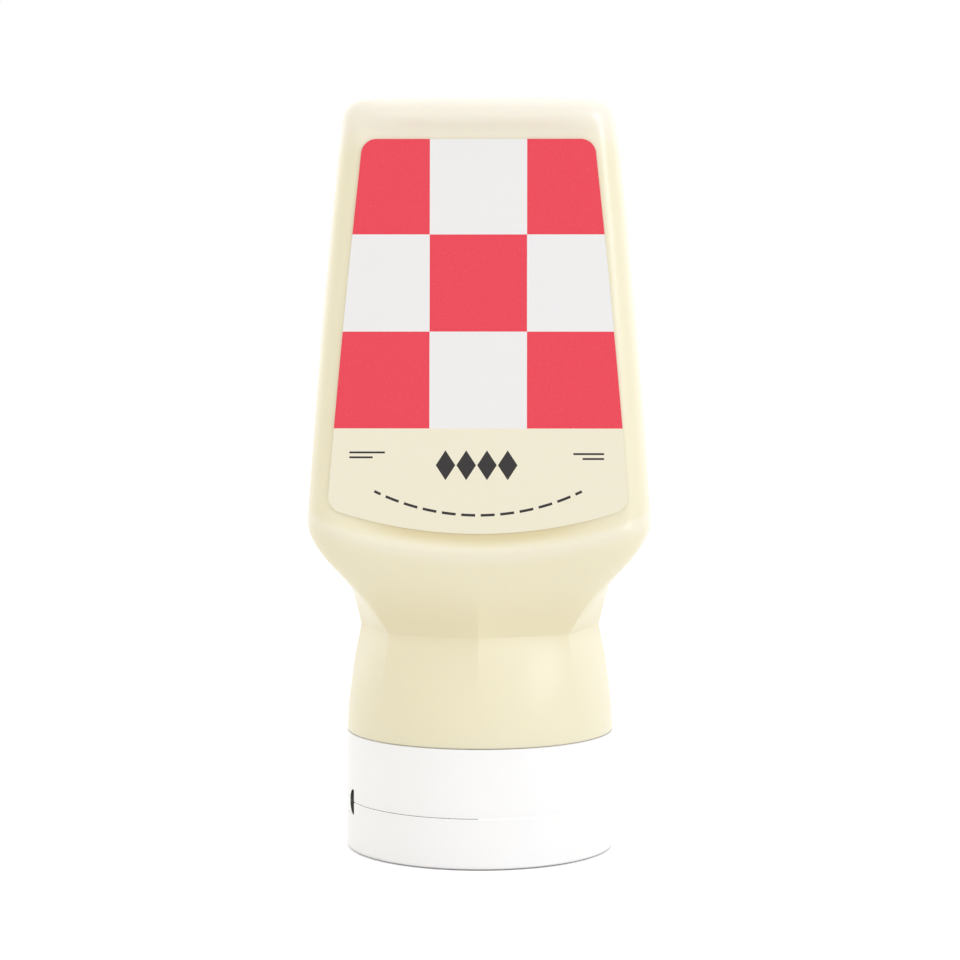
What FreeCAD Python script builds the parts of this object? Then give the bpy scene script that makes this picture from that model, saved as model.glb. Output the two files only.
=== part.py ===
import FreeCAD, Part
import os
from math import atan, cos, degrees, radians, sin, sqrt

# Squeeze bottle of mayonnaise standing on its flip-top cap, in millimetres.
# Origin: centre of the cap's flat end, which is what the bottle stands on.
# +Z runs up the bottle, the front label faces -Y, and the cap's hinge is at -X.

# Whole bottle
height = 159.0

# Cap: two mouldings that meet at a fine seam
cap_radius = 28.75
cap_height = 25.2
lid_height = 10.8
lid_round = 0.9
seam_chamfer = 0.2
ring_width = 4.0
ring_height = 0.8

# Hinge: a waisted strap across the seam, with a window at each side of it
hinge_width = 21.8
hinge_height = 5.4
window_width = 3.2
window_depth = 16.0
strap_thickness = 1.0
strap_inset = 0.1
fold_radius = 0.25

# Neck: a round rim just inside the cap's edge, narrowing up to the octagon of the waist
rim_step = 0.1
rim_round = 0.3
neck_height = 22.6
waist_draw = 3.05
waist_facet_run = 6.8
waist_slope = 0.2

# Body: a slope up from the waist to the shoulder, where its four crowned sides are widest
slope_height = 23.2
shoulder_width = 72.6
shoulder_depth = 59.0
top_width = 56.8
top_depth = 39.8
top_round = 3.4
side_bow = 0.55
squareness = 8.0
corner_share = 0.95
front_crown = 1.6
side_crown = 1.2

# Base of the bottle, which is its top as it stands: a shallow hollow inside a flat border
hollow_border = 5.5
hollow_slope = 2.5
hollow_depth = 1.2

# Growth from the waist to the shoulder, as pairs: share of the height, share of the growth
corner_growth = ((0, 0), (0.24, 0.22), (0.43, 0.45), (0.57, 0.66), (0.71, 0.855), (0.85, 0.965), (1, 1))
middle_growth = ((0, 0), (0.34, 0.19), (0.50, 0.35), (0.66, 0.60), (0.80, 0.82), (0.90, 0.95), (1, 1))
rounding_growth = ((0, 0), (0.34, 0.40), (0.60, 0.80), (1, 1))

# Label panels: cut flat into the crowned front and back, with a soft wall below and above
panel_share = 0.885
panel_margin = 0.6
lower_wall = 3.4
upper_wall = 4.2

# Labels: the gaps at the sides run from the label to the edge of the panel's flat
label_drop = 8.6
label_overhang = 1.4
label_top_gap = 1.2
label_foot_gap = 0.15
label_bow = 0.3
label_bottom_radius = 95.0
label_top_corner = 3.2
label_bottom_corner = 3.4
label_thickness = 0.25
label_seat = 0.05

# Fineness: points along each spline of an outline, and the spans between sections
points_per_edge = 17
rim_spans = 4
neck_spans = 6
slope_spans = 16
panel_foot_height = 10.0
panel_foot_spans = 8
panel_middle_spans = 6
panel_head_height = 4.0
panel_head_spans = 9
crest_spans = 6

# Levels and sizes that follow from these
rim_level = cap_height + rim_round
rim_radius = cap_radius - rim_step
waist_level = cap_height + neck_height
waist_reach = rim_radius - waist_draw
waist_corner = waist_reach - waist_facet_run
shoulder_level = waist_level + slope_height
label_top = height - label_drop
label_bottom = shoulder_level - label_overhang


def vector(x, y, z):
    return FreeCAD.Vector(x, y, z)


def mix(first, last, share):
    return first + (last - first) * share


def levels(first, last, count):
    return [mix(first, last, index / count) for index in range(count + 1)]


def soft_step(share):
    share = min(max(share, 0.0), 1.0)
    return share * share * (3 - 2 * share)


def cubic(first, last, first_slope, last_slope, span, share):
    """A cubic from first to last over a span, with a slope stated at each end."""
    leave = share * (1 - share) ** 2
    arrive = share * share * (share - 1)
    return mix(first, last, soft_step(share)) + span * (first_slope * leave + last_slope * arrive)


def growth(stations, share):
    """A smooth rising curve through the stations, with no overshoot between them."""
    slopes = [(b[1] - a[1]) / (b[0] - a[0]) for a, b in zip(stations, stations[1:])]
    between = [2 * below * above / (below + above) for below, above in zip(slopes, slopes[1:])]
    slopes_at = [slopes[0]] + between + [0.0]
    place = 0
    while share > stations[place + 1][0]:
        place += 1
    start, end = stations[place], stations[place + 1]
    span = end[0] - start[0]
    part = (share - start[0]) / span
    return cubic(start[1], end[1], slopes_at[place], slopes_at[place + 1], span, part)


# The body's outline at each level


def body_share(z):
    return (z - shoulder_level) / (height - shoulder_level)


def half_width_at(z):
    share = body_share(z)
    return mix(shoulder_width, top_width, share) / 2 + 4 * side_bow * share * (1 - share)


def half_depth_at(z):
    return mix(shoulder_depth, top_depth, body_share(z)) / 2


def squared(share):
    """How far a squared-off side still stands out, at a share of the way to its end."""
    return (1 - share**squareness) ** (1 / squareness)


def crowned(half_width, half_depth, across, along):
    """A point of the crowned outline, from its shares of the half width and half depth."""
    x = half_width * across - side_crown * along * along * across
    y = half_depth * along - front_crown * across * across * along
    return x, y


def front_point(half_width, half_depth, share):
    """A point of the front, at a share of the way from its middle to its corner."""
    across = corner_share * share
    return crowned(half_width, half_depth, across, squared(across))


def side_point(half_width, half_depth, share):
    """A point of the side, at a share of the way from its middle to its corner."""
    along = squared(corner_share) * share
    return crowned(half_width, half_depth, squared(along), along)


def edge_shares():
    last = points_per_edge - 1
    return [index / last for index in range(points_per_edge)]


def spline_edge(points):
    curve = Part.BSplineCurve()
    curve.interpolate(Points=points, Parameters=edge_shares())
    return curve.toShape()


def outline(front, side, z):
    """A wire of eight edges, from half of a front and half of a side, both ending at one corner."""
    quarter = [front, side[::-1]]
    half = quarter + [[(x, -y) for x, y in chain[::-1]] for chain in quarter[::-1]]
    whole = half + [[(-x, -y) for x, y in chain] for chain in half]
    return Part.Wire([spline_edge([vector(-x, y, z) for x, y in chain]) for chain in whole])


# The label panels


def panel_edge(z):
    """Where the flat of the panel ends at a level: its half width, and its depth from the middle."""
    return crowned(half_width_at(z), half_depth_at(z), panel_share, squared(panel_share))


def panel_depth(z):
    return panel_edge(z)[1]


def lower_edge(x):
    """The level of the label's curved lower edge."""
    return label_bottom + label_bottom_radius - sqrt(label_bottom_radius**2 - x * x)


def panel_cover(x, z):
    """1 over the flat of the panel and 0 beyond its lower and upper walls."""
    below = z - (lower_edge(x) - panel_margin - lower_wall)
    above = (label_top + panel_margin + upper_wall) - z
    return soft_step(below / lower_wall) * soft_step(above / upper_wall)


def with_panel(point, depth, z):
    """The point, moved back to the panel where the panel is cut."""
    x, y = point
    return x, y - max(y - depth, 0) * panel_cover(x, z)


# The sections of the bottle


def neck_section(z):
    """The outline between the round rim and the octagon of the waist."""
    span = waist_level - rim_level
    share = (z - rim_level) / span
    full_slope = waist_slope * span / (rim_radius - waist_reach)
    facets = cubic(0, 1, 0, full_slope, 1, share)
    front = []
    for part in edge_shares():
        angle = radians(45) * part
        x = mix(rim_radius * sin(angle), waist_corner * part, facets)
        y = mix(rim_radius * cos(angle), mix(waist_reach, waist_corner, part), facets)
        front.append((x, y))
    return outline(front, [(y, x) for x, y in front], z)


def slope_section(z):
    """The outline between the octagon of the waist and the shoulder."""
    rise = (z - waist_level) / (shoulder_level - waist_level)
    corner = growth(corner_growth, rise)
    middle = growth(middle_growth, rise)
    rounding = growth(rounding_growth, rise)
    half_width = shoulder_width / 2
    half_depth = shoulder_depth / 2
    end_x, end_y = front_point(half_width, half_depth, 1)
    corner_x = mix(waist_corner, end_x, corner)
    corner_y = mix(waist_corner, end_y, corner)
    middle_x = mix(waist_reach, half_width, middle)
    middle_y = mix(waist_reach, half_depth, corner)
    front = []
    side = []
    for part in edge_shares():
        full_fall = half_depth - front_point(half_width, half_depth, part)[1]
        fall = mix(part, full_fall / (half_depth - end_y), rounding)
        point = corner_x * part, mix(middle_y, corner_y, fall)
        front.append(with_panel(point, panel_depth(z), z))
        full_fall = half_width - side_point(half_width, half_depth, part)[0]
        fall = mix(part, full_fall / (half_width - end_x), rounding)
        side.append((mix(middle_x, corner_x, fall), corner_y * part))
    return outline(front, side, z)


def body_section(z, inset=0.0):
    """The outline above the shoulder, drawn in by an inset."""
    half_width = half_width_at(z) - inset
    half_depth = half_depth_at(z) - inset
    front = [front_point(half_width, half_depth, part) for part in edge_shares()]
    side = [side_point(half_width, half_depth, part) for part in edge_shares()]
    return outline([with_panel(point, panel_depth(z), z) for point in front], side, z)


# The bottle


def rim():
    """The rounded lower edge of the neck, which sits on the cap."""
    sections = []
    for angle in levels(0, radians(90), rim_spans):
        radius = rim_radius - rim_round * (1 - sin(angle))
        turns = [radians(45) * part for part in edge_shares()]
        circle = [(radius * sin(turn), radius * cos(turn)) for turn in turns]
        z = cap_height + rim_round * (1 - cos(angle))
        sections.append(outline(circle, [(y, x) for x, y in circle], z))
    return Part.makeLoft(sections, True, True)


def crest():
    """The rounded edge round the base of the bottle."""
    sections = []
    for angle in levels(0, radians(90), crest_spans):
        inset = top_round * (1 - cos(angle))
        sections.append(body_section(height - top_round * (1 - sin(angle)), inset))
    return Part.makeLoft(sections, True, False)


def hollow():
    """The shallow hollow in the base of the bottle."""
    mouth = body_section(height, hollow_border)
    floor = body_section(height - hollow_depth, hollow_border + hollow_slope)
    return Part.makeLoft([floor, mouth], True, True)


def bottle():
    panel_foot = shoulder_level + panel_foot_height
    panel_head = label_top - panel_head_height
    body_levels = levels(shoulder_level, panel_foot, panel_foot_spans)[1:]
    body_levels += levels(panel_foot, panel_head, panel_middle_spans)[1:]
    body_levels += levels(panel_head, height - top_round, panel_head_spans)[1:]
    neck = [neck_section(z) for z in levels(rim_level, waist_level, neck_spans)]
    slope = [slope_section(z) for z in levels(waist_level, shoulder_level, slope_spans)]
    body = [body_section(z) for z in body_levels]
    lofts = [Part.makeLoft(neck, True, False), Part.makeLoft(slope + body, True, False), crest()]
    return rim().multiFuse(lofts).cut(hollow())


# The labels


def label_prism():
    """The label's outline, seen from the front, drawn out through its panel."""
    top = panel_edge(label_top)[0] - label_top_gap
    foot = panel_edge(label_bottom + label_bottom_corner)[0] - label_foot_gap
    foot_level = lower_edge(foot)
    half_level = (label_top + foot_level) / 2
    waist = (top + foot) / 2 + label_bow
    reach = shoulder_depth
    corners = [vector(-top, 0, label_top), vector(top, 0, label_top)]
    corners += [vector(foot, 0, foot_level), vector(-foot, 0, foot_level)]
    edges = [
        Part.makeLine(corners[0], corners[1]),
        Part.Arc(corners[1], vector(waist, 0, half_level), corners[2]).toShape(),
        Part.Arc(corners[2], vector(0, 0, label_bottom), corners[3]).toShape(),
        Part.Arc(corners[3], vector(-waist, 0, half_level), corners[0]).toShape(),
    ]
    prism = Part.Face(Part.Wire(edges)).extrude(vector(0, -reach, 0))
    for level, radius in ((label_top, label_top_corner), (foot_level, label_bottom_corner)):
        along = [edge for edge in prism.Edges if all(abs(v.Z - level) < 1e-6 for v in edge.Vertexes)]
        upright = [edge for edge in along if abs(edge.Vertexes[0].X - edge.Vertexes[-1].X) < 1e-6]
        prism = prism.makeFillet(radius, upright)
    return prism


def label():
    """A thin label lying on the front panel."""
    rise = label_top - label_bottom
    slope = (panel_depth(label_bottom) - panel_depth(label_top)) / rise
    lean = atan(slope)
    slab = Part.makeBox(shoulder_width, label_thickness, 3 * rise)
    slab.translate(vector(-shoulder_width / 2, -label_seat - label_thickness, -rise))
    slab.rotate(vector(0, 0, 0), vector(1, 0, 0), -degrees(lean))
    slab.translate(vector(0, -panel_depth(label_bottom), label_bottom))
    return label_prism().common(slab)


def turned_round(shape):
    return shape.rotated(vector(0, 0, 0), vector(0, 0, 1), 180)


# The cap


def disc(radius, bottom, top):
    return Part.makeCylinder(radius, top - bottom, vector(0, 0, bottom))


def rims_at(shape, level):
    return [edge for edge in shape.Edges if edge.Closed and abs(edge.Vertexes[0].Z - level) < 1e-6]


def hinge_pocket():
    """The space cut into the side of the cap for the hinge."""
    pocket = Part.makeBox(window_depth, hinge_width, hinge_height)
    pocket.translate(vector(-cap_radius, -hinge_width / 2, lid_height - hinge_height / 2))
    return pocket


def hinge_windows():
    """The two half-round windows, each with its straight edge away from the strap."""
    half_chord = hinge_height / 2
    radius = (half_chord**2 + window_width**2) / (2 * window_width)
    middle = hinge_width / 2 - window_width + radius
    windows = []
    for side in (-1, 1):
        centre = vector(-cap_radius, side * middle, lid_height)
        windows.append(Part.makeCylinder(radius, window_depth, centre, vector(1, 0, 0)))
    return windows


def hinge_strap():
    """The thin waisted strap that joins the lid to the cap, with its fold line."""
    outer = cap_radius - strap_inset
    bottom = lid_height - hinge_height / 2
    skin = disc(outer, bottom, bottom + hinge_height)
    skin = skin.cut(disc(outer - strap_thickness, bottom, bottom + hinge_height))
    strap = skin.common(hinge_pocket())
    for window in hinge_windows():
        strap = strap.cut(window)
    fold = Part.makeCylinder(
        fold_radius, hinge_width, vector(-outer, -hinge_width / 2, lid_height), vector(0, 1, 0)
    )
    return strap.cut(fold)


def cap_lid():
    """The lower moulding, on whose ring the bottle stands."""
    lid = disc(cap_radius, 0, lid_height)
    lid = lid.makeFillet(lid_round, rims_at(lid, 0))
    lid = lid.makeChamfer(seam_chamfer, rims_at(lid, lid_height))
    lid = lid.cut(disc(cap_radius - lid_round - ring_width, 0, ring_height))
    return lid.cut(hinge_pocket())


def cap_body():
    """The upper moulding, which holds the neck of the bottle."""
    body = disc(cap_radius, lid_height, cap_height)
    body = body.makeChamfer(seam_chamfer, rims_at(body, lid_height) + rims_at(body, cap_height))
    return body.cut(hinge_pocket())


def save(name, shape):
    shape.exportStep("parts/" + name + ".step")


os.makedirs("parts", exist_ok=True)
save("bottle", bottle())
save("label_front", label())
save("label_back", turned_round(label()))
save("cap_body", cap_body())
save("cap_lid", cap_lid())
save("hinge_strap", hinge_strap())
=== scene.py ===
from math import cos, pi, radians, sin, sqrt

import bmesh
import bpy
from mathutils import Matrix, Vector


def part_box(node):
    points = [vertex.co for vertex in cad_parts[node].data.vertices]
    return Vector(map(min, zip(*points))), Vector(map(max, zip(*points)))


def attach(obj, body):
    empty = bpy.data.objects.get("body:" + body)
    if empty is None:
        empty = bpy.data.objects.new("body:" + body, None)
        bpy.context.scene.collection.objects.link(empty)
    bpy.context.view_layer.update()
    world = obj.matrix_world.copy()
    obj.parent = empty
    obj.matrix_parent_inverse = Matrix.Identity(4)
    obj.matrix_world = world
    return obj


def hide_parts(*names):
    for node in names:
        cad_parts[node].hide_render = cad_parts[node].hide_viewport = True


# A squeeze bottle of mayonnaise that stands on its flip-top cap: cream satin bottle,
# printed labels in flat panels, white cap. Lengths are in millimetres and MM makes them metres.

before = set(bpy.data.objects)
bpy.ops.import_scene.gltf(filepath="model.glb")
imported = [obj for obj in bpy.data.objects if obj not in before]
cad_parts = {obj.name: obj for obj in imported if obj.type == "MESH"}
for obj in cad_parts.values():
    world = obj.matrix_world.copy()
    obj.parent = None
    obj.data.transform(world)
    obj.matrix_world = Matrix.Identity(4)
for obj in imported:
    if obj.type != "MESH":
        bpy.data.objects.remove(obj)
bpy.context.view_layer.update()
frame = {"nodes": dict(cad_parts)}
MM = 0.001
BODY = "root"

# What the frame gives
BOTTLE_LOW, BOTTLE_HIGH = (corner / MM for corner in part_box("bottle"))
CAP_LOW, CAP_HIGH = (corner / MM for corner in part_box("cap_body"))
HINGE_LOW, HINGE_HIGH = (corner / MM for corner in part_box("hinge_strap"))
HEIGHT = BOTTLE_HIGH.z
RIM_LEVEL = BOTTLE_LOW.z
SHOULDER_HALF_WIDTH = BOTTLE_HIGH.x
CAP_RADIUS = CAP_HIGH.x
LID_LEVEL = CAP_LOW.z

# The neck and its faceted waist
RIM_STEP = 0.1
RIM_ROUND = 0.3
NECK_HEIGHT = 22.6
WAIST_DRAW = 3.05
WAIST_FACET_RUN = 6.8
WAIST_SLOPE = 0.2
RIM_RADIUS = CAP_RADIUS - RIM_STEP
WAIST_LEVEL = RIM_LEVEL + NECK_HEIGHT
WAIST_REACH = RIM_RADIUS - WAIST_DRAW
WAIST_CORNER = WAIST_REACH - WAIST_FACET_RUN
QUARTER_TURN = radians(90)
EIGHTH_TURN = radians(45)

# The body
SLOPE_HEIGHT = 23.2
SHOULDER_LEVEL = WAIST_LEVEL + SLOPE_HEIGHT
SHOULDER_HALF_DEPTH = 29.5
TOP_HALF_WIDTH = 28.4
TOP_HALF_DEPTH = 19.9
TOP_ROUND = 3.4
SIDE_BOW = 0.55
SQUARENESS = 8.0
CORNER_SHARE = 0.95
FRONT_CROWN = 1.6
SIDE_CROWN = 1.2

# The hollow in the bottle's base, which is its top as it stands
HOLLOW_BORDER = 5.5
HOLLOW_SLOPE = 2.5
HOLLOW_DEPTH = 1.2
BORDER_GUARD = 0.7
HOLLOW_FLOOR_RING = 2.0

# Growth from the waist to the shoulder, as pairs: share of the height, share of the growth
CORNER_GROWTH = ((0, 0), (0.24, 0.22), (0.43, 0.45), (0.57, 0.66), (0.71, 0.855), (0.85, 0.965), (1, 1))
MIDDLE_GROWTH = ((0, 0), (0.34, 0.19), (0.50, 0.35), (0.66, 0.60), (0.80, 0.82), (0.90, 0.95), (1, 1))
ROUNDING_GROWTH = ((0, 0), (0.34, 0.40), (0.60, 0.80), (1, 1))

# The label panels
PANEL_SHARE = 0.885
LOWER_MARGIN = 1.3
LOWER_WALL = 2.5
UPPER_MARGIN = 1.3
UPPER_WALL = 3.3
LABEL_DROP = 8.6
LABEL_OVERHANG = 1.4
LABEL_TOP = HEIGHT - LABEL_DROP
LABEL_BOTTOM = SHOULDER_LEVEL - LABEL_OVERHANG
LABEL_BOTTOM_RADIUS = 95.0

# Where the rings of the bottle's mesh have their points, as shares from a side's middle
# to its corner, and how many spans lie between the rings of each part of the bottle
RING_SHARES = (0.0, 0.2, 0.4, 0.58, 0.73, 0.85, PANEL_SHARE / CORNER_SHARE, 1.0)
RIM_SPANS = 3
NECK_SPANS = 10
LOWER_SLOPE_SPANS = 12
UPPER_SLOPE_SPANS = 11
PANEL_FOOT_SPANS = 8
PANEL_SPANS = 8
PANEL_HEAD_SPANS = 10
TOP_SPANS = 5
HOLLOW_SPANS = 4

# Levels where the rings change their spacing, and how finely the skin is smoothed
WALL_FOOT = 62.5
PANEL_FOOT = 79.0
PANEL_HEAD = 147.5
SKIN_LEVELS = 2
SHARP_ANGLE = 13.0

# How sharp the moulded edges of the waist are, and how far up and down they fade out.
# The neck's lowest rings stay round.
WAIST_CREASE = 0.9
RIDGE_CREASE = 1.0
CORNER_CREASE = 0.9
RIDGE_FADE_UP = 12.0
CORNER_FADE_UP = 20.0
EDGE_FADE_DOWN = 17.0
FAINTEST_CREASE = 0.05
ROUND_NECK_RINGS = 3
LEVEL_SLACK = 0.1
CORNER_SLACK = 0.02
MIDDLE_SLACK = 0.01


def tone(red, green, blue):
    """A colour from its everyday values of 0 to 255."""
    shares = [channel / 255 for channel in (red, green, blue)]
    return (*[s / 12.92 if s <= 0.04045 else ((s + 0.055) / 1.055) ** 2.4 for s in shares], 1)


# The bottle's plastic
CREAM_DEEP = tone(227, 217, 180)
CREAM_PALE = tone(233, 226, 197)
# Painted light: a paler cream mixed in on the top and on the lip by the label's lower edge
CREAM_PAINTED_LIGHT = tone(236, 229, 213)
# Painted shade: a darker tan mixed in under the label's lower edge and in the waist's tuck
CREAM_PAINTED_SHADE = tone(214, 196, 142)
# Painted shade: a dark line at the rim, where the bottle meets the cap
PAINTED_SEAM_SHADE_COLOUR = tone(120, 108, 84)
# How strongly each painted shade and painted light is mixed in
VALLEY_PAINTED_SHADE = 0.7
LIP_PAINTED_HIGHLIGHT = 0.45
WAIST_PAINTED_SHADE = 0.26
SEAM_PAINTED_SHADE_STRENGTH = 0.6
CREAM_CLOUDING = 0.6
CREAM_ROUGHNESS = 0.3
CREAM_SHINE = 0.75
CREAM_DEPTH = 0.2
PARTING_WIDTH = 0.35
PARTING_HEIGHT = 0.06
SKIN_GRAIN = 0.004
SKIN_WAVE = 0.03
CLOUD_SCALE = 28.0
GRAIN_SCALE = 1400.0
WAVE_SCALE = 90.0
SATIN_SCALE = 240.0
SATIN_CHANGE = 0.06

# Where its painted shade and painted light come in and go out: each change lies between the two
# values of a pair. The top's are measured down from the top, those of the valley and lip down from the
# label's lower edge, the first of the tuck from the waist and the seam's from the rim.
TOP_PAINTED_LIGHT = (14, 2)
VALLEY_START = (-1.0, 0.2)
VALLEY_END = (0.8, 3.0)
VALLEY_SIDES = (12.0, 30.0)
LIP_START = (2.2, 3.4)
LIP_END = (4.2, 7.5)
TUCK_START = (-3, 2)
TUCK_END = (50.0, 61.0)
RIM_SEAM = (0.05, 0.4)
PARTING_FOOT = 1

# How light bends and spreads in it
CREAM_INDEX = 1.55
CREAM_GLOW_REACH = 0.004
CREAM_GLOW = (1.0, 0.8, 0.45)

# The label's print: a check of three columns and three rows, then a cream field
CHECK_HALF = 10.0
CHECK_ROWS = (130.8, 110.9, 91.1)
PRINT_RED = tone(227, 57, 75)
PRINT_WHITE = tone(232, 230, 228)
PRINT_CREAM = tone(233, 226, 202)
PRINT_INK = tone(22, 17, 17)
FILM_ROUGHNESS = 0.42
FILM_CHANGE = 0.08
FILM_CHANGE_SCALE = 160.0
FILM_GRAIN = 0.004
FILM_GRAIN_SCALE = 900.0
FILM_INDEX = 1.46
SPECK_SCALE = 3000.0
SPECK_SPAN = (0.5, 0.8)
SPECK_SHARE = 0.03
LOZENGES = 4
LOZENGE_ROW = (-8.8, 8.2)
LOZENGE_LEVEL = 83.6
LOZENGE_HALF = 3.05
LOZENGE_GAP = 0.12
ARC_RADIUS = 48.7
ARC_CENTRE = 122.1
ARC_REACH = 22.0
DASH_PITCH = 4.0
DASH_SHARE = 0.72
DASH_HALF = 0.27

# Short thin bars at the sides of the field: left, right, low and high
BARS = (
    (-26.4, -19.1, 86.0, 86.4),
    (-26.4, -21.6, 85.0, 85.4),
    (19.5, 25.8, 85.7, 86.1),
    (21.4, 25.8, 84.7, 85.1),
)

# The cap's plastic
CAP_WHITE = tone(246, 245, 244)
CAP_WHITE_WARM = tone(246, 244, 241)
# Painted shade: near black put inside the hinge's pocket and windows, and at the cap's foot
PAINTED_SHADE_DARK = tone(18, 17, 17)
CAP_ROUGHNESS = 0.3
# Where the painted shade in the hinge's pocket and windows lies
WINDOW_START = 7.4
WINDOW_SKIN = 0.15
POCKET_SKIN = 1.2
HINGE_SLACK = 0.02
# Painted contact shadow on the cap's lowest edge, where it stands on the floor
FOOT_START = 0.05
FOOT_LEVEL = 0.55
FOOT_PAINTED_SHADOW = 0.97
# Painted light: a faint glow in the seam between lid and cap
CAP_SEAM_HALF = 0.2
CAP_SEAM_DEPTH = 0.3
CAP_SEAM_PAINTED_GLOW = 0.1
CAP_CLOUD_SCALE = 60.0
CAP_CLOUD_SPAN = (0.2, 0.8)
CAP_GRAIN = 0.006
CAP_GRAIN_SCALE = 1100.0
CAP_CHANGE = 0.05
CAP_CHANGE_SCALE = 200.0
CAP_INDEX = 1.49
CAP_DEPTH = 0.1
CAP_GLOW_REACH = 0.002
CAP_GLOW = (1.0, 0.95, 0.9)

# The room, its lamps and the camera, in metres and watts
FLOOR_SIZE = 6.0
FLOOR_WHITE = tone(247, 247, 247)
FLOOR_LIFT = 0.3
FLOOR_ROUGHNESS = 0.9
FLOOR_SHINE = 0.1
ROOM_LIGHT = 0.95
ROOM_SHINE = 1.55
ROOM_TINT = (1.0, 0.99, 0.97, 1)
LAMP_TINT = (0.88, 0.98, 1.22)
LAMPS = (
    ("key", (0.95, -0.6, 0.55), 0.4, 2.3),
    ("overhead", (0.05, 0.1, 1.1), 0.8, 1.2),
)
CAMERA_LENS = 101.7
CAMERA_SENSOR = 36
CAMERA_NEAR = 0.01
CAMERA_FAR = 20
CAMERA_REACH = 0.580
CAMERA_LEVEL = 0.1208
CAMERA_TURN = 0.9
CAMERA_PITCH = 4.15


def mix(first, last, share):
    return first + (last - first) * share


def levels(first, last, count):
    return [mix(first, last, index / count) for index in range(count + 1)]


def soft_step(share):
    share = min(max(share, 0.0), 1.0)
    return share * share * (3 - 2 * share)


def cubic(first, last, first_slope, last_slope, span, share):
    """A cubic from first to last over a span, with a slope stated at each end."""
    leave = share * (1 - share) ** 2
    arrive = share * share * (share - 1)
    return mix(first, last, soft_step(share)) + span * (first_slope * leave + last_slope * arrive)


def growth(stations, share):
    """A smooth rise through the stations, level at the end."""
    slopes = [(b[1] - a[1]) / (b[0] - a[0]) for a, b in zip(stations, stations[1:])]
    between = [2 * below * above / (below + above) for below, above in zip(slopes, slopes[1:])]
    slopes_at = [slopes[0]] + between + [0.0]
    place = 0
    while share > stations[place + 1][0]:
        place += 1
    start, end = stations[place], stations[place + 1]
    span = end[0] - start[0]
    part = (share - start[0]) / span
    return cubic(start[1], end[1], slopes_at[place], slopes_at[place + 1], span, part)


NECK_LEVELS = levels(RIM_LEVEL + RIM_ROUND, WAIST_LEVEL, NECK_SPANS)
SLOPE_LEVELS = levels(WAIST_LEVEL, WALL_FOOT, LOWER_SLOPE_SPANS)
SLOPE_LEVELS += levels(WALL_FOOT, SHOULDER_LEVEL, UPPER_SLOPE_SPANS)[1:]


# The bottle's outline at each level: points from the middle of the front to a corner, and
# from the middle of a side to the same corner


def body_share(z):
    return (z - SHOULDER_LEVEL) / (HEIGHT - SHOULDER_LEVEL)


def half_width_at(z):
    share = body_share(z)
    return mix(SHOULDER_HALF_WIDTH, TOP_HALF_WIDTH, share) + 4 * SIDE_BOW * share * (1 - share)


def half_depth_at(z):
    return mix(SHOULDER_HALF_DEPTH, TOP_HALF_DEPTH, body_share(z))


def squared(share):
    """How far out a squared outline is, where the other way is out by this share."""
    return (1 - share**SQUARENESS) ** (1 / SQUARENESS)


def crowned(half_width, half_depth, across, along):
    """A point of the body's outline, with its four sides bulged towards their middles."""
    x = half_width * across - SIDE_CROWN * along * along * across
    y = half_depth * along - FRONT_CROWN * across * across * along
    return x, y


def front_point(half_width, half_depth, share):
    across = CORNER_SHARE * share
    return crowned(half_width, half_depth, across, squared(across))


def side_point(half_width, half_depth, share):
    along = squared(CORNER_SHARE) * share
    return crowned(half_width, half_depth, squared(along), along)


def panel_depth(z):
    """How far out the label panel's flat lies at this level."""
    return crowned(half_width_at(z), half_depth_at(z), PANEL_SHARE, squared(PANEL_SHARE))[1]


def lower_edge(x):
    return LABEL_BOTTOM + LABEL_BOTTOM_RADIUS - sqrt(LABEL_BOTTOM_RADIUS**2 - x * x)


def panel_cover(x, z):
    """1 on the panel's flat, 0 outside it and between them in its soft walls."""
    below = z - (lower_edge(x) - LOWER_MARGIN - LOWER_WALL)
    above = (LABEL_TOP + UPPER_MARGIN + UPPER_WALL) - z
    return soft_step(below / LOWER_WALL) * soft_step(above / UPPER_WALL)


def with_panel(point, z):
    x, y = point
    return x, y - max(y - panel_depth(z), 0) * panel_cover(x, z)


def neck_outline(z):
    """Round at the rim and eight-sided at the waist."""
    span = WAIST_LEVEL - RIM_LEVEL - RIM_ROUND
    share = (z - RIM_LEVEL - RIM_ROUND) / span
    facets = cubic(0, 1, 0, WAIST_SLOPE * span / (RIM_RADIUS - WAIST_REACH), 1, share)
    front = []
    for part in RING_SHARES:
        turn = EIGHTH_TURN * part
        x = mix(RIM_RADIUS * sin(turn), WAIST_CORNER * part, facets)
        y = mix(RIM_RADIUS * cos(turn), mix(WAIST_REACH, WAIST_CORNER, part), facets)
        front.append((x, y))
    return front, [(y, x) for x, y in front]


def round_outline(radius):
    turns = [EIGHTH_TURN * part for part in RING_SHARES]
    front = [(radius * sin(turn), radius * cos(turn)) for turn in turns]
    return front, [(y, x) for x, y in front]


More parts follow.
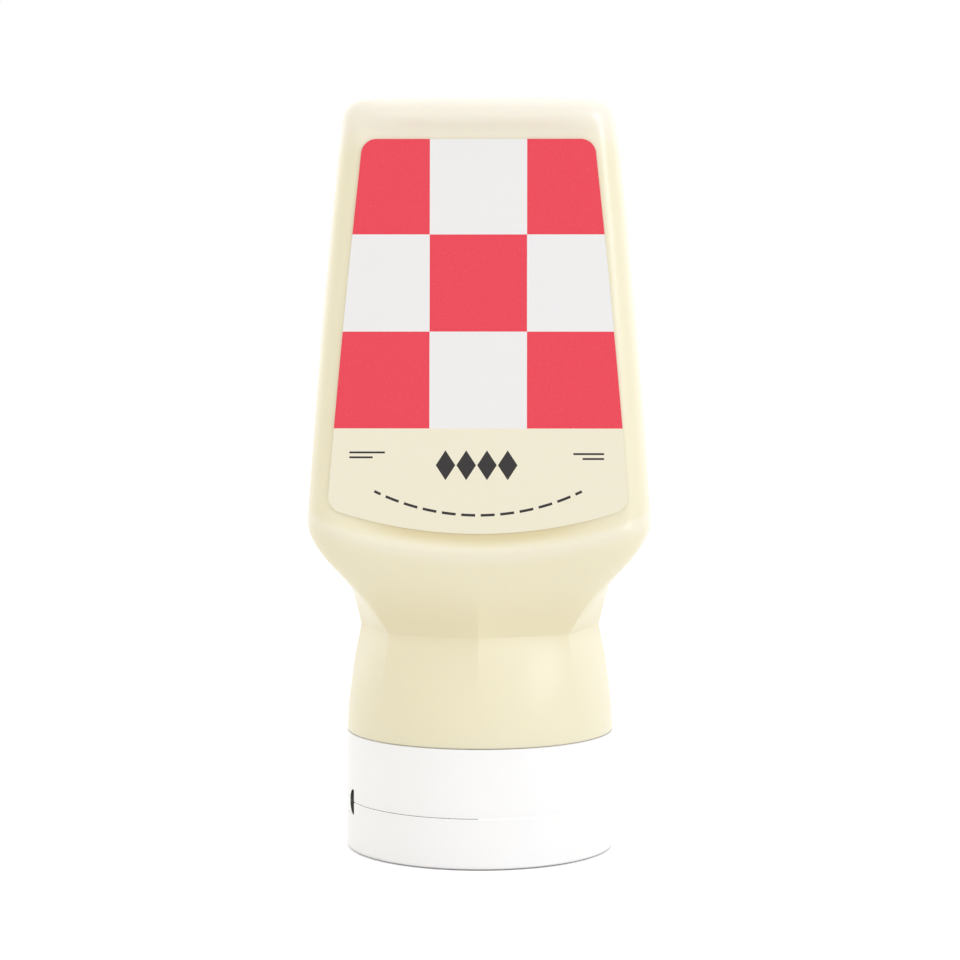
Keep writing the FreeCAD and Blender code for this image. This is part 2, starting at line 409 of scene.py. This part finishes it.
def slope_outline(z):
    """Eight-sided at the waist and squared and crowned at the shoulder."""
    rise = (z - WAIST_LEVEL) / (SHOULDER_LEVEL - WAIST_LEVEL)
    corner = growth(CORNER_GROWTH, rise)
    middle = growth(MIDDLE_GROWTH, rise)
    rounding = growth(ROUNDING_GROWTH, rise)
    end_x, end_y = front_point(SHOULDER_HALF_WIDTH, SHOULDER_HALF_DEPTH, 1)
    corner_x = mix(WAIST_CORNER, end_x, corner)
    corner_y = mix(WAIST_CORNER, end_y, corner)
    middle_x = mix(WAIST_REACH, SHOULDER_HALF_WIDTH, middle)
    middle_y = mix(WAIST_REACH, SHOULDER_HALF_DEPTH, corner)
    front_fall = SHOULDER_HALF_DEPTH - end_y
    side_fall = SHOULDER_HALF_WIDTH - end_x
    front = []
    side = []
    for part in RING_SHARES:
        full_fall = SHOULDER_HALF_DEPTH - front_point(SHOULDER_HALF_WIDTH, SHOULDER_HALF_DEPTH, part)[1]
        fall = mix(part, full_fall / front_fall, rounding)
        front.append(with_panel((corner_x * part, mix(middle_y, corner_y, fall)), z))
        full_fall = SHOULDER_HALF_WIDTH - side_point(SHOULDER_HALF_WIDTH, SHOULDER_HALF_DEPTH, part)[0]
        fall = mix(part, full_fall / side_fall, rounding)
        side.append((mix(middle_x, corner_x, fall), corner_y * part))
    return front, side


def body_outline(z, inset=0.0):
    half_width = half_width_at(z) - inset
    half_depth = half_depth_at(z) - inset
    front = [with_panel(front_point(half_width, half_depth, part), z) for part in RING_SHARES]
    side = [side_point(half_width, half_depth, part) for part in RING_SHARES]
    return front, side


def bottle_rings():
    """Every ring of the bottle, from the rim that sits on the cap to the floor of the hollow."""
    rings = [(RIM_LEVEL, round_outline(RIM_RADIUS - RIM_ROUND))]
    for turn in levels(0, QUARTER_TURN, RIM_SPANS)[1:]:
        radius = RIM_RADIUS - RIM_ROUND * (1 - sin(turn))
        rings.append((RIM_LEVEL + RIM_ROUND * (1 - cos(turn)), round_outline(radius)))
    rings += [(z, neck_outline(z)) for z in NECK_LEVELS[1:-1]]
    rings += [(z, slope_outline(z)) for z in SLOPE_LEVELS[:-1]]
    body_levels = levels(SHOULDER_LEVEL, PANEL_FOOT, PANEL_FOOT_SPANS)
    body_levels += levels(PANEL_FOOT, PANEL_HEAD, PANEL_SPANS)[1:]
    body_levels += levels(PANEL_HEAD, HEIGHT - TOP_ROUND, PANEL_HEAD_SPANS)[1:]
    rings += [(z, body_outline(z)) for z in body_levels]
    for turn in levels(0, QUARTER_TURN, TOP_SPANS)[1:]:
        z = HEIGHT - TOP_ROUND * (1 - sin(turn))
        rings.append((z, body_outline(z, TOP_ROUND * (1 - cos(turn)))))
    rings.append((HEIGHT, body_outline(HEIGHT, HOLLOW_BORDER - BORDER_GUARD)))
    for share in levels(0, 1, HOLLOW_SPANS):
        z = HEIGHT - HOLLOW_DEPTH * soft_step(share)
        rings.append((z, body_outline(HEIGHT, HOLLOW_BORDER + HOLLOW_SLOPE * share)))
    floor_inset = HOLLOW_BORDER + HOLLOW_SLOPE + HOLLOW_FLOOR_RING
    rings.append((HEIGHT - HOLLOW_DEPTH, body_outline(HEIGHT, floor_inset)))
    return rings


# Modelling with the edit tools


def deselect_all():
    if bpy.context.object and bpy.context.object.mode != "OBJECT":
        bpy.ops.object.mode_set(mode="OBJECT")
    bpy.ops.object.select_all(action="DESELECT")


def quarter(outline):
    """The points of one quarter of a ring, from the middle of the front to the middle of a side."""
    front, side = outline
    return front + side[-2::-1]


def select_points(cage, points):
    """Selects the chosen points of the mesh in edit mode, and nothing else."""
    bpy.ops.mesh.select_all(action="DESELECT")
    for point in points:
        point.select_set(True)
    cage.select_flush_mode()


def reshape_ring(cage, before, after):
    """Scales each set of matching points in the selected ring from its old outline to the new one."""
    ring = [point for point in cage.verts if point.select]
    places = [[] for _ in before]
    for point in ring:
        x, y = abs(point.co.x) / MM, abs(point.co.y) / MM
        misses = [(old[0] - x) ** 2 + (old[1] - y) ** 2 for old in before]
        places[misses.index(min(misses))].append(point)
    for points, old, new in zip(places, before, after):
        across = new[0] / old[0] if old[0] > MIDDLE_SLACK else 1
        along = new[1] / old[1] if old[1] > MIDDLE_SLACK else 1
        select_points(cage, points)
        bpy.ops.transform.resize(value=(across, along, 1), center_override=(0, 0, 0))
    select_points(cage, ring)


def crease(cage, wanted, sharpness):
    """Creases the edges whose two ends are both wanted."""
    bpy.ops.mesh.select_all(action="DESELECT")
    bpy.ops.mesh.select_mode(type="EDGE")
    for edge in cage.edges:
        if all(wanted(point.co / MM) for point in edge.verts):
            edge.select_set(True)
    bpy.ops.transform.edge_crease(value=sharpness)
    bpy.ops.mesh.select_mode(type="VERT")


def at_middle(point):
    return min(abs(point.x), abs(point.y)) < MIDDLE_SLACK


def at_corner(point):
    if point.z < WAIST_LEVEL + LEVEL_SLACK:
        return abs(abs(point.x) - abs(point.y)) < CORNER_SLACK
    corner_x, corner_y = slope_outline(min(point.z, SHOULDER_LEVEL))[0][-1]
    return abs(abs(point.x) - corner_x) < CORNER_SLACK and abs(abs(point.y) - corner_y) < CORNER_SLACK


def crease_waist(cage):
    """Sharpens the waist, its corners and its middle ridges, which fade out above and below."""
    bpy.ops.mesh.select_mode(type="EDGE")
    crease(cage, lambda point: abs(point.z - WAIST_LEVEL) < LEVEL_SLACK, WAIST_CREASE)
    edges = ((at_middle, RIDGE_CREASE, RIDGE_FADE_UP), (at_corner, CORNER_CREASE, CORNER_FADE_UP))
    stops = NECK_LEVELS[ROUND_NECK_RINGS:] + SLOPE_LEVELS[1:]
    for below, above in zip(stops, stops[1:]):
        middle = (below + above) / 2 - WAIST_LEVEL
        for at_edge, sharpness, fade_up in edges:
            share = 1 - (middle / fade_up if middle > 0 else -middle / EDGE_FADE_DOWN)
            if share > FAINTEST_CREASE:
                crease(
                    cage,
                    lambda point: below - LEVEL_SLACK < point.z < above + LEVEL_SLACK and at_edge(point),
                    sharpness * share,
                )


def finish_piece(piece, name, nodes=()):
    """Names a piece, smooths its shading, gives it its body and hides the nodes it stands for."""
    piece.name = name
    piece.data.name = name
    deselect_all()
    piece.select_set(True)
    bpy.context.view_layer.objects.active = piece
    bpy.ops.object.transform_apply(location=True, rotation=True, scale=True)
    bpy.ops.object.shade_smooth_by_angle(angle=radians(SHARP_ANGLE))
    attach(piece, BODY)
    if nodes:
        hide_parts(*nodes)


def bottle_skin():
    """The bottle as one smooth closed skin, drawn up ring by ring from the rim."""
    rings = bottle_rings()
    first = quarter(rings[0][1])
    spans = len(first) - 1
    radius = first[0][1]
    deselect_all()
    bpy.ops.mesh.primitive_circle_add(
        vertices=4 * spans,
        radius=radius * MM,
        fill_type="NGON",
        location=(0, 0, rings[0][0] * MM),
    )
    skin = bpy.context.object
    bpy.ops.object.transform_apply(location=True)
    bpy.ops.object.mode_set(mode="EDIT")
    bpy.ops.mesh.select_mode(type="VERT")
    bpy.ops.mesh.select_all(action="SELECT")
    start = [(radius * sin(turn), radius * cos(turn)) for turn in levels(0, QUARTER_TURN, spans)]
    cage = bmesh.from_edit_mesh(skin.data)
    reshape_ring(cage, start, first)
    for (low, before), (high, after) in zip(rings, rings[1:]):
        bpy.ops.mesh.extrude_region_move(TRANSFORM_OT_translate={"value": (0, 0, (high - low) * MM)})
        reshape_ring(cage, quarter(before), quarter(after))
    crease_waist(cage)
    bpy.ops.mesh.select_all(action="SELECT")
    bpy.ops.mesh.normals_make_consistent(inside=False)
    bpy.ops.object.mode_set(mode="OBJECT")
    smooth = skin.modifiers.new("smooth", "SUBSURF")
    smooth.levels = SKIN_LEVELS
    smooth.render_levels = SKIN_LEVELS
    bpy.ops.object.modifier_apply(modifier=smooth.name)
    finish_piece(skin, "bottle_skin", ["bottle"])
    return skin


# Materials


class Finish:
    """A material and short ways to add nodes to it. A value can be a number, a colour or a node's output."""

    def __init__(self, name):
        self.material = bpy.data.materials.new(name)
        self.material.use_nodes = True
        self.tree = self.material.node_tree
        self.shader = self.tree.nodes["Principled BSDF"]
        self.place = self.add("ShaderNodeTexCoord").outputs["Object"]
        x, y, z = self.add("ShaderNodeSeparateXYZ", Vector=self.place).outputs
        self.x, self.y, self.z = (self.math("MULTIPLY", axis, 1 / MM) for axis in (x, y, z))

    def add(self, kind, **inputs):
        node = self.tree.nodes.new(kind)
        for name, value in inputs.items():
            self.join(value, node.inputs[name.replace("_", " ")])
        return node

    def join(self, value, socket):
        if isinstance(value, bpy.types.NodeSocket):
            self.tree.links.new(value, socket)
        else:
            socket.default_value = value

    def math(self, operation, *values):
        node = self.tree.nodes.new("ShaderNodeMath")
        node.operation = operation
        for value, socket in zip(values, node.inputs):
            self.join(value, socket)
        return node.outputs[0]

    def both(self, *shares):
        result = shares[0]
        for share in shares[1:]:
            result = self.math("MULTIPLY", result, share)
        return result

    def either(self, *shares):
        result = shares[0]
        for share in shares[1:]:
            result = self.math("MAXIMUM", result, share)
        return result

    def within(self, value, low, high):
        return self.both(self.math("GREATER_THAN", value, low), self.math("LESS_THAN", value, high))

    def distance(self, first, second):
        """How far out a point is that lies first one way and second the other."""
        squares = [self.math("MULTIPLY", value, value) for value in (first, second)]
        return self.math("SQRT", self.math("ADD", *squares))

    def vary(self, middle, change, scale):
        return self.math("ADD", middle, self.math("MULTIPLY", self.noise(scale), change))

    def ramp(self, value, low, high):
        """A smooth change from 0 to 1 as the value goes from low to high."""
        node = self.add("ShaderNodeMapRange", Value=value, From_Min=low, From_Max=high)
        node.interpolation_type = "SMOOTHSTEP"
        return node.outputs["Result"]

    def fall(self, value, low, high):
        """A smooth change from 1 to 0 as the value goes from low to high."""
        return self.math("SUBTRACT", 1.0, self.ramp(value, low, high))

    def mix(self, share, first, second):
        node = self.tree.nodes.new("ShaderNodeMix")
        node.data_type = "RGBA"
        for socket, value in zip((node.inputs[0], node.inputs[6], node.inputs[7]), (share, first, second)):
            self.join(value, socket)
        return node.outputs[2]

    def noise(self, scale, detail=2.0):
        return self.add("ShaderNodeTexNoise", Vector=self.place, Scale=scale, Detail=detail).outputs["Fac"]

    def bump(self, height, distance, strength=1.0):
        node = self.add("ShaderNodeBump", Height=height, Distance=distance, Strength=strength)
        self.join(node.outputs["Normal"], self.shader.inputs["Normal"])

    def set(self, **inputs):
        for name, value in inputs.items():
            self.join(value, self.shader.inputs[name.replace("_", " ")])


def bottle_plastic():
    """Satin cream plastic over mayonnaise, with faint clouding and a parting line at each side.

    Painted shade deepens the valley under the label, the waist and the seam at the rim, and painted
    light pales the top and the lip above the valley.
    """
    f = Finish("bottle_plastic")
    aside = f.math("ABSOLUTE", f.x)
    deep = f.math("MULTIPLY", f.math("ADD", f.noise(CLOUD_SCALE, 3.0), -0.5), CREAM_CLOUDING)
    colour = f.mix(f.math("ADD", 0.5, deep), CREAM_DEEP, CREAM_PALE)
    # Painted light: paler towards the top
    colour = f.mix(f.ramp(f.z, HEIGHT - TOP_PAINTED_LIGHT[0], HEIGHT - TOP_PAINTED_LIGHT[1]), colour, CREAM_PAINTED_LIGHT)
    edge = f.math("SUBTRACT", LABEL_BOTTOM_RADIUS**2, f.math("MULTIPLY", f.x, f.x))
    edge = f.math("SUBTRACT", LABEL_BOTTOM + LABEL_BOTTOM_RADIUS, f.math("SQRT", edge))
    drop = f.math("SUBTRACT", edge, f.z)
    # Painted shade in the valley under the label's lower edge
    valley = f.both(f.ramp(drop, *VALLEY_START), f.fall(drop, *VALLEY_END), f.fall(aside, *VALLEY_SIDES))
    # Painted highlight on the lip
    lip = f.both(f.ramp(drop, *LIP_START), f.fall(drop, *LIP_END))
    # Painted shade in the tuck at the waist
    tuck_low, tuck_high = (WAIST_LEVEL + shift for shift in TUCK_START)
    tuck = f.both(f.ramp(f.z, tuck_low, tuck_high), f.fall(f.z, *TUCK_END))
    # Painted shade at the rim's seam, where the bottle meets the cap
    seam = f.fall(f.z, RIM_LEVEL + RIM_SEAM[0], RIM_LEVEL + RIM_SEAM[1])
    for share, strength, shade in (
        (valley, VALLEY_PAINTED_SHADE, CREAM_PAINTED_SHADE),
        (lip, LIP_PAINTED_HIGHLIGHT, CREAM_PAINTED_LIGHT),
        (tuck, WAIST_PAINTED_SHADE, CREAM_PAINTED_SHADE),
        (seam, SEAM_PAINTED_SHADE_STRENGTH, PAINTED_SEAM_SHADE_COLOUR),
    ):
        colour = f.mix(f.math("MULTIPLY", share, strength), colour, shade)
    line = f.fall(f.math("ABSOLUTE", f.y), 0.0, PARTING_WIDTH)
    line = f.both(line, f.math("GREATER_THAN", f.z, RIM_LEVEL + PARTING_FOOT))
    skin = f.math("MULTIPLY", f.noise(GRAIN_SCALE), SKIN_GRAIN)
    wave = f.math("MULTIPLY", f.noise(WAVE_SCALE), SKIN_WAVE)
    height = f.math("ADD", f.math("ADD", skin, wave), f.math("MULTIPLY", line, PARTING_HEIGHT))
    f.bump(height, MM)
    rough = f.vary(CREAM_ROUGHNESS, SATIN_CHANGE, SATIN_SCALE)
    f.set(Base_Color=colour, Roughness=rough, IOR=CREAM_INDEX, Specular_IOR_Level=CREAM_SHINE)
    f.set(Subsurface_Weight=CREAM_DEPTH, Subsurface_Scale=CREAM_GLOW_REACH, Subsurface_Radius=CREAM_GLOW)
    return f.material


def label_film():
    """Satin film with a red and white check above a cream field of simple dark shapes."""
    f = Finish("label_film")
    facing = f.math("MULTIPLY", f.math("SIGN", f.y), -1.0)
    across = f.math("MULTIPLY", f.x, facing)
    level = f.z
    centre = f.within(across, -CHECK_HALF, CHECK_HALF)
    middle_row = f.within(level, CHECK_ROWS[1], CHECK_ROWS[0])
    red = f.math("SUBTRACT", 1.0, f.math("ABSOLUTE", f.math("SUBTRACT", centre, middle_row)))
    check = f.mix(red, PRINT_WHITE, PRINT_RED)
    above = f.math("GREATER_THAN", level, CHECK_ROWS[2])
    colour = f.mix(above, PRINT_CREAM, check)
    marks = []
    pitch = (LOZENGE_ROW[1] - LOZENGE_ROW[0]) / LOZENGES
    for index in range(LOZENGES):
        middle = LOZENGE_ROW[0] + (index + 0.5) * pitch
        aside = f.math("ABSOLUTE", f.math("SUBTRACT", across, middle))
        up = f.math("ABSOLUTE", f.math("SUBTRACT", level, LOZENGE_LEVEL))
        aside = f.math("DIVIDE", aside, pitch / 2 - LOZENGE_GAP)
        up = f.math("DIVIDE", up, LOZENGE_HALF)
        marks.append(f.math("LESS_THAN", f.math("ADD", aside, up), 1.0))
    for left, right, low, high in BARS:
        marks.append(f.both(f.within(across, left, right), f.within(level, low, high)))
    rise = f.math("SUBTRACT", ARC_CENTRE, level)
    radius = f.distance(across, rise)
    along = f.math("MULTIPLY", f.math("ARCTAN2", across, rise), ARC_RADIUS)
    beat = f.math("FRACT", f.math("ADD", f.math("DIVIDE", along, DASH_PITCH), 0.5 + DASH_SHARE / 2))
    dashes = f.both(
        f.within(radius, ARC_RADIUS - DASH_HALF, ARC_RADIUS + DASH_HALF),
        f.within(along, -ARC_REACH, ARC_REACH),
        f.math("LESS_THAN", beat, DASH_SHARE),
        f.math("GREATER_THAN", rise, 0.0),
    )
    speck = f.math("MULTIPLY", f.ramp(f.noise(SPECK_SCALE, 1.0), *SPECK_SPAN), SPECK_SHARE)
    colour = f.mix(speck, colour, PRINT_WHITE)
    colour = f.mix(f.either(*marks, dashes), colour, PRINT_INK)
    f.bump(f.noise(FILM_GRAIN_SCALE), MM * FILM_GRAIN)
    f.set(Base_Color=colour, Roughness=f.vary(FILM_ROUGHNESS, FILM_CHANGE, FILM_CHANGE_SCALE), IOR=FILM_INDEX)
    return f.material


def cap_plastic():
    """White moulded plastic with a soft shine.

    Painted shade makes it near black inside the hinge's pocket and windows, a painted contact
    shadow darkens it where the cap meets what it stands on, and a painted glow gives a little light
    in the fine seam between lid and cap.
    """
    f = Finish("cap_plastic")
    reach = f.distance(f.x, f.y)
    # Painted shade: near black inside the hinge's pocket and windows
    window = f.both(
        f.math("GREATER_THAN", f.math("ABSOLUTE", f.y), WINDOW_START),
        f.math("LESS_THAN", reach, CAP_RADIUS - WINDOW_SKIN),
    )
    inside = f.both(
        f.either(window, f.math("LESS_THAN", reach, CAP_RADIUS - POCKET_SKIN)),
        f.within(f.z, HINGE_LOW.z - HINGE_SLACK, HINGE_HIGH.z + HINGE_SLACK),
        f.math("LESS_THAN", f.x, 0.0),
    )
    colour = f.mix(f.ramp(f.noise(CAP_CLOUD_SCALE), *CAP_CLOUD_SPAN), CAP_WHITE, CAP_WHITE_WARM)
    # Painted contact shadow along the cap's foot
    foot = f.math("MULTIPLY", f.fall(f.z, FOOT_START, FOOT_LEVEL), FOOT_PAINTED_SHADOW)
    colour = f.mix(foot, colour, PAINTED_SHADE_DARK)
    colour = f.mix(inside, colour, PAINTED_SHADE_DARK)
    f.bump(f.math("MULTIPLY", f.noise(CAP_GRAIN_SCALE), CAP_GRAIN), MM)
    rough = f.vary(CAP_ROUGHNESS, CAP_CHANGE, CAP_CHANGE_SCALE)
    f.set(Base_Color=colour, Roughness=rough, IOR=CAP_INDEX)
    f.set(Subsurface_Weight=CAP_DEPTH, Subsurface_Scale=CAP_GLOW_REACH, Subsurface_Radius=CAP_GLOW)
    # Painted light: a faint glow in the seam between lid and cap
    groove = f.both(
        f.within(f.z, LID_LEVEL - CAP_SEAM_HALF, LID_LEVEL + CAP_SEAM_HALF),
        f.math("GREATER_THAN", reach, CAP_RADIUS - CAP_SEAM_DEPTH),
    )
    f.set(Emission_Color=CAP_WHITE, Emission_Strength=f.math("MULTIPLY", groove, CAP_SEAM_PAINTED_GLOW))
    return f.material


def paint(piece, material):
    piece.data.materials.clear()
    piece.data.materials.append(material)


# The stage


def seen_directly(tree, second_kind):
    """1 for rays from the camera or of the second kind, and 0 for all others."""
    rays = tree.nodes.new("ShaderNodeLightPath")
    seen = tree.nodes.new("ShaderNodeMath")
    seen.operation = "MAXIMUM"
    tree.links.new(rays.outputs["Is Camera Ray"], seen.inputs[0])
    tree.links.new(rays.outputs[second_kind], seen.inputs[1])
    return rays, seen.outputs[0]


def floor_finish():
    """A pale matt floor that looks white all over, yet keeps the object's shadow."""
    material = bpy.data.materials.new("floor_white")
    material.use_nodes = True
    tree = material.node_tree
    shader = tree.nodes["Principled BSDF"]
    shader.inputs["Base Color"].default_value = FLOOR_WHITE
    shader.inputs["Roughness"].default_value = FLOOR_ROUGHNESS
    shader.inputs["Specular IOR Level"].default_value = FLOOR_SHINE
    shader.inputs["Emission Color"].default_value = (1, 1, 1, 1)
    _, seen = seen_directly(tree, "Is Glossy Ray")
    lift = tree.nodes.new("ShaderNodeMath")
    lift.operation = "MULTIPLY"
    lift.inputs[1].default_value = FLOOR_LIFT
    tree.links.new(seen, lift.inputs[0])
    tree.links.new(lift.outputs[0], shader.inputs["Emission Strength"])
    return material


def stage():
    deselect_all()
    bpy.ops.mesh.primitive_plane_add(size=FLOOR_SIZE, location=(0, 0, 0))
    floor = bpy.context.object
    floor.name = "floor"
    paint(floor, floor_finish())


def surroundings():
    """A plain pale room, seen as white by the camera and in reflections."""
    world = bpy.data.worlds.new("room")
    bpy.context.scene.world = world
    world.use_nodes = True
    tree = world.node_tree
    tree.nodes.clear()
    rays, seen = seen_directly(tree, "Is Transmission Ray")
    strength = tree.nodes.new("ShaderNodeMix")
    strength.inputs[2].default_value = ROOM_LIGHT
    strength.inputs[3].default_value = 1.0
    tree.links.new(seen, strength.inputs[0])
    shine = tree.nodes.new("ShaderNodeMix")
    shine.inputs[3].default_value = ROOM_SHINE
    tree.links.new(rays.outputs["Is Glossy Ray"], shine.inputs[0])
    tree.links.new(strength.outputs[0], shine.inputs[2])
    back = tree.nodes.new("ShaderNodeBackground")
    tint = tree.nodes.new("ShaderNodeMix")
    tint.data_type = "RGBA"
    tint.inputs[6].default_value = ROOM_TINT
    tint.inputs[7].default_value = (1, 1, 1, 1)
    tree.links.new(seen, tint.inputs[0])
    tree.links.new(tint.outputs[2], back.inputs["Color"])
    tree.links.new(shine.outputs[0], back.inputs["Strength"])
    out = tree.nodes.new("ShaderNodeOutputWorld")
    tree.links.new(back.outputs[0], out.inputs["Surface"])


def lamp(name, place, size, power):
    """A square soft lamp that looks at the middle of the bottle."""
    light = bpy.data.lights.new(name, "AREA")
    light.size = size
    light.energy = power
    light.color = LAMP_TINT
    holder = bpy.data.objects.new(name, light)
    bpy.context.scene.collection.objects.link(holder)
    holder.location = place
    aim = Vector((0, 0, HEIGHT / 2 * MM)) - holder.location
    holder.rotation_euler = aim.to_track_quat("-Z", "Y").to_euler()


def camera():
    lens = bpy.data.cameras.new("camera")
    lens.lens = CAMERA_LENS
    lens.sensor_width = CAMERA_SENSOR
    lens.clip_start = CAMERA_NEAR
    lens.clip_end = CAMERA_FAR
    holder = bpy.data.objects.new("camera", lens)
    bpy.context.scene.collection.objects.link(holder)
    turn = radians(CAMERA_TURN)
    holder.location = (CAMERA_REACH * sin(turn), -CAMERA_REACH * cos(turn), CAMERA_LEVEL)
    holder.rotation_euler = (radians(90 - CAMERA_PITCH), 0, turn)
    bpy.context.scene.camera = holder


skin = bottle_skin()
cream = bottle_plastic()
film = label_film()
white = cap_plastic()
paint(skin, cream)
nodes = frame["nodes"]
paint(nodes["bottle"], cream)
for name in ("label_front", "label_back"):
    paint(nodes[name], film)
for name in ("cap_body", "cap_lid", "hinge_strap"):
    paint(nodes[name], white)
stage()
surroundings()
for name, place, size, power in LAMPS:
    lamp(name, place, size, power)
camera()
bpy.context.scene.view_settings.view_transform = "Standard"
